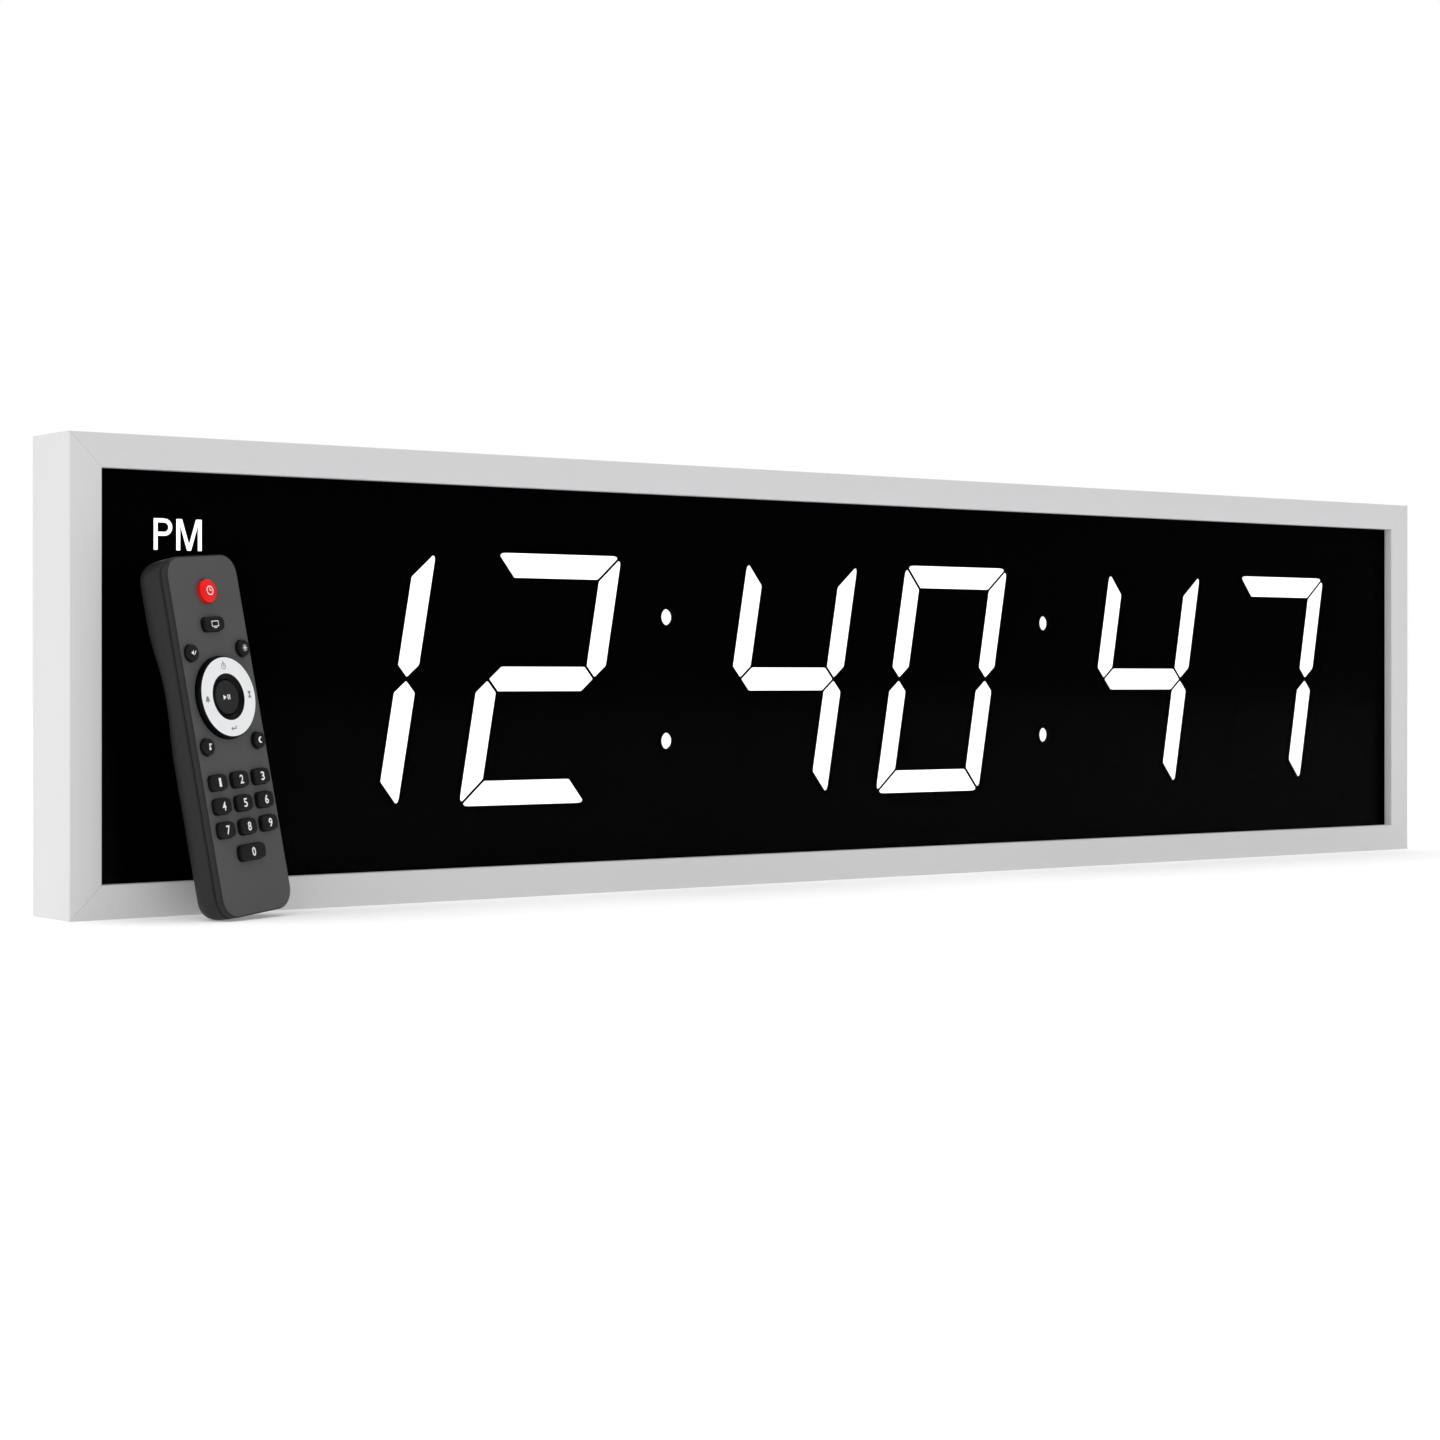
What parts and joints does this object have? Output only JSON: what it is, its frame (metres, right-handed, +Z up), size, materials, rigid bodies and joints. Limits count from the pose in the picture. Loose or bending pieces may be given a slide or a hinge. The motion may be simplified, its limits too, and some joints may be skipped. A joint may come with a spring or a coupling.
{
  "type": "round timer",
  "caption": "Wide LED interval timer in a mitred white metal frame with slanted seven-segment digits, plus a keypad remote control leaning on its display.",
  "frame": {"origin": "centre of the timer's underside", "axes": "+Z up, +X along the timer to the right of someone facing the display, +Y from the display to the wall side; the display faces -Y"},
  "size_m": [0.914, 0.0851, 0.219],
  "materials": {
    "frame_white": "satin powder coat",
    "smoked_acrylic": "smoked, high gloss",
    "mask_black": "matt",
    "diffuser_white": "opal",
    "circuit_green": "solder mask",
    "bracket_steel": "zinc plated",
    "cover_black": "satin black",
    "component_black": "moulded",
    "cell_steel": "bright",
    "remote_black": "fine texture",
    "key_black": "satin",
    "key_red": "satin red",
    "ring_white": "silver white",
    "mat_grey": "silicone",
    "battery_wrap": "printed sleeve",
    "contact_nickel": "nickel plated",
    "emitter_clear": "tinted clear"
  },
  "bodies": {
    "timer": {"back_cover": "cover_black", "backup_cell": "cell_steel", "buzzer": "component_black", "control_board": "circuit_green", "corner_bracket_1": "bracket_steel", "corner_bracket_2": "bracket_steel", "corner_bracket_3": "bracket_steel", "corner_bracket_4": "bracket_steel", "cover_screw_1": "bracket_steel", "cover_screw_2": "bracket_steel", "cover_screw_3": "bracket_steel", "cover_screw_4": "bracket_steel", "dc_power_jack": "component_black", "frame_bottom_rail": "frame_white", "frame_left_rail": "frame_white", "frame_right_rail": "frame_white", "frame_top_rail": "frame_white", "front_panel": "smoked_acrylic", "half_day_lens": "diffuser_white", "hanger_plate_left": "bracket_steel", "hanger_plate_right": "bracket_steel", "hours_diffuser": "diffuser_white", "hours_led_board": "circuit_green", "ir_receiver": "component_black", "left_colon_lens": "diffuser_white", "minutes_diffuser": "diffuser_white", "minutes_led_board": "circuit_green", "right_colon_lens": "diffuser_white", "seconds_diffuser": "diffuser_white", "seconds_led_board": "circuit_green", "segment_mask": "mask_black"},
    "remote": {"remote_front_shell": "remote_black", "remote_rear_shell": "remote_black", "remote_circuit_board": "circuit_green", "keypad_mat": "mat_grey", "battery_left": "battery_wrap", "battery_right": "battery_wrap", "battery_bridge_spring": "contact_nickel", "battery_contact_left": "contact_nickel", "battery_contact_right": "contact_nickel", "ir_emitter": "emitter_clear"},
    "battery_door": {"battery_door": "remote_black"},
    "key_0": {"key_0": "key_black"},
    "key_1": {"key_1": "key_black"},
    "key_2": {"key_2": "key_black"},
    "key_3": {"key_3": "key_black"},
    "key_4": {"key_4": "key_black"},
    "key_5": {"key_5": "key_black"},
    "key_6": {"key_6": "key_black"},
    "key_7": {"key_7": "key_black"},
    "key_8": {"key_8": "key_black"},
    "key_9": {"key_9": "key_black"},
    "key_am_pm": {"key_am_pm": "key_black"},
    "key_brightness": {"key_brightness": "key_black"},
    "key_clock": {"key_clock": "key_red"},
    "key_degrees": {"key_degrees": "key_black"},
    "key_display": {"key_display": "key_black"},
    "key_mute": {"key_mute": "key_black"},
    "key_start_stop": {"key_start_stop": "key_black"},
    "nav_ring": {"nav_ring": "ring_white"}
  },
  "joints": [
    {"name": "remote_pick_up", "type": "slide", "parent": "timer", "child": "remote", "axis": [0, -0.5, 0.866], "range_m": [0, 0.25]},
    {"name": "battery_door_slide", "type": "slide", "parent": "remote", "child": "battery_door", "axis": [0.1257, -0.1179, -0.985], "range_m": [0, 0.065]},
    {"name": "key_0_press", "type": "slide", "parent": "remote", "child": "key_0", "axis": [-0.3652, 0.9177, -0.1564], "range_m": [0, 0.0008], "stiffness_N_per_m": 400},
    {"name": "key_1_press", "type": "slide", "parent": "remote", "child": "key_1", "axis": [-0.3652, 0.9177, -0.1564], "range_m": [0, 0.0008], "stiffness_N_per_m": 400},
    {"name": "key_2_press", "type": "slide", "parent": "remote", "child": "key_2", "axis": [-0.3652, 0.9177, -0.1564], "range_m": [0, 0.0008], "stiffness_N_per_m": 400},
    {"name": "key_3_press", "type": "slide", "parent": "remote", "child": "key_3", "axis": [-0.3652, 0.9177, -0.1564], "range_m": [0, 0.0008], "stiffness_N_per_m": 400},
    {"name": "key_4_press", "type": "slide", "parent": "remote", "child": "key_4", "axis": [-0.3652, 0.9177, -0.1564], "range_m": [0, 0.0008], "stiffness_N_per_m": 400},
    {"name": "key_5_press", "type": "slide", "parent": "remote", "child": "key_5", "axis": [-0.3652, 0.9177, -0.1564], "range_m": [0, 0.0008], "stiffness_N_per_m": 400},
    {"name": "key_6_press", "type": "slide", "parent": "remote", "child": "key_6", "axis": [-0.3652, 0.9177, -0.1564], "range_m": [0, 0.0008], "stiffness_N_per_m": 400},
    {"name": "key_7_press", "type": "slide", "parent": "remote", "child": "key_7", "axis": [-0.3652, 0.9177, -0.1564], "range_m": [0, 0.0008], "stiffness_N_per_m": 400},
    {"name": "key_8_press", "type": "slide", "parent": "remote", "child": "key_8", "axis": [-0.3652, 0.9177, -0.1564], "range_m": [0, 0.0008], "stiffness_N_per_m": 400},
    {"name": "key_9_press", "type": "slide", "parent": "remote", "child": "key_9", "axis": [-0.3652, 0.9177, -0.1564], "range_m": [0, 0.0008], "stiffness_N_per_m": 400},
    {"name": "key_am_pm_press", "type": "slide", "parent": "remote", "child": "key_am_pm", "axis": [-0.3652, 0.9177, -0.1564], "range_m": [0, 0.0008], "stiffness_N_per_m": 400},
    {"name": "key_brightness_press", "type": "slide", "parent": "remote", "child": "key_brightness", "axis": [-0.3652, 0.9177, -0.1564], "range_m": [0, 0.0008], "stiffness_N_per_m": 400},
    {"name": "key_clock_press", "type": "slide", "parent": "remote", "child": "key_clock", "axis": [-0.3652, 0.9177, -0.1564], "range_m": [0, 0.0008], "stiffness_N_per_m": 400},
    {"name": "key_degrees_press", "type": "slide", "parent": "remote", "child": "key_degrees", "axis": [-0.3652, 0.9177, -0.1564], "range_m": [0, 0.0008], "stiffness_N_per_m": 400},
    {"name": "key_display_press", "type": "slide", "parent": "remote", "child": "key_display", "axis": [-0.3652, 0.9177, -0.1564], "range_m": [0, 0.0008], "stiffness_N_per_m": 400},
    {"name": "key_mute_press", "type": "slide", "parent": "remote", "child": "key_mute", "axis": [-0.3652, 0.9177, -0.1564], "range_m": [0, 0.0008], "stiffness_N_per_m": 400},
    {"name": "key_start_stop_press", "type": "slide", "parent": "remote", "child": "key_start_stop", "axis": [-0.3652, 0.9177, -0.1564], "range_m": [0, 0.0008], "stiffness_N_per_m": 400},
    {"name": "nav_ring_tilt", "type": "hinge", "parent": "remote", "child": "nav_ring", "pos_m": [-0.39409, -0.04577, 0.09981], "axis": [0.9224, 0.3794, 0.0723], "range_deg": [-3, 3], "stiffness_Nm_per_rad": 0.3}
  ]
}
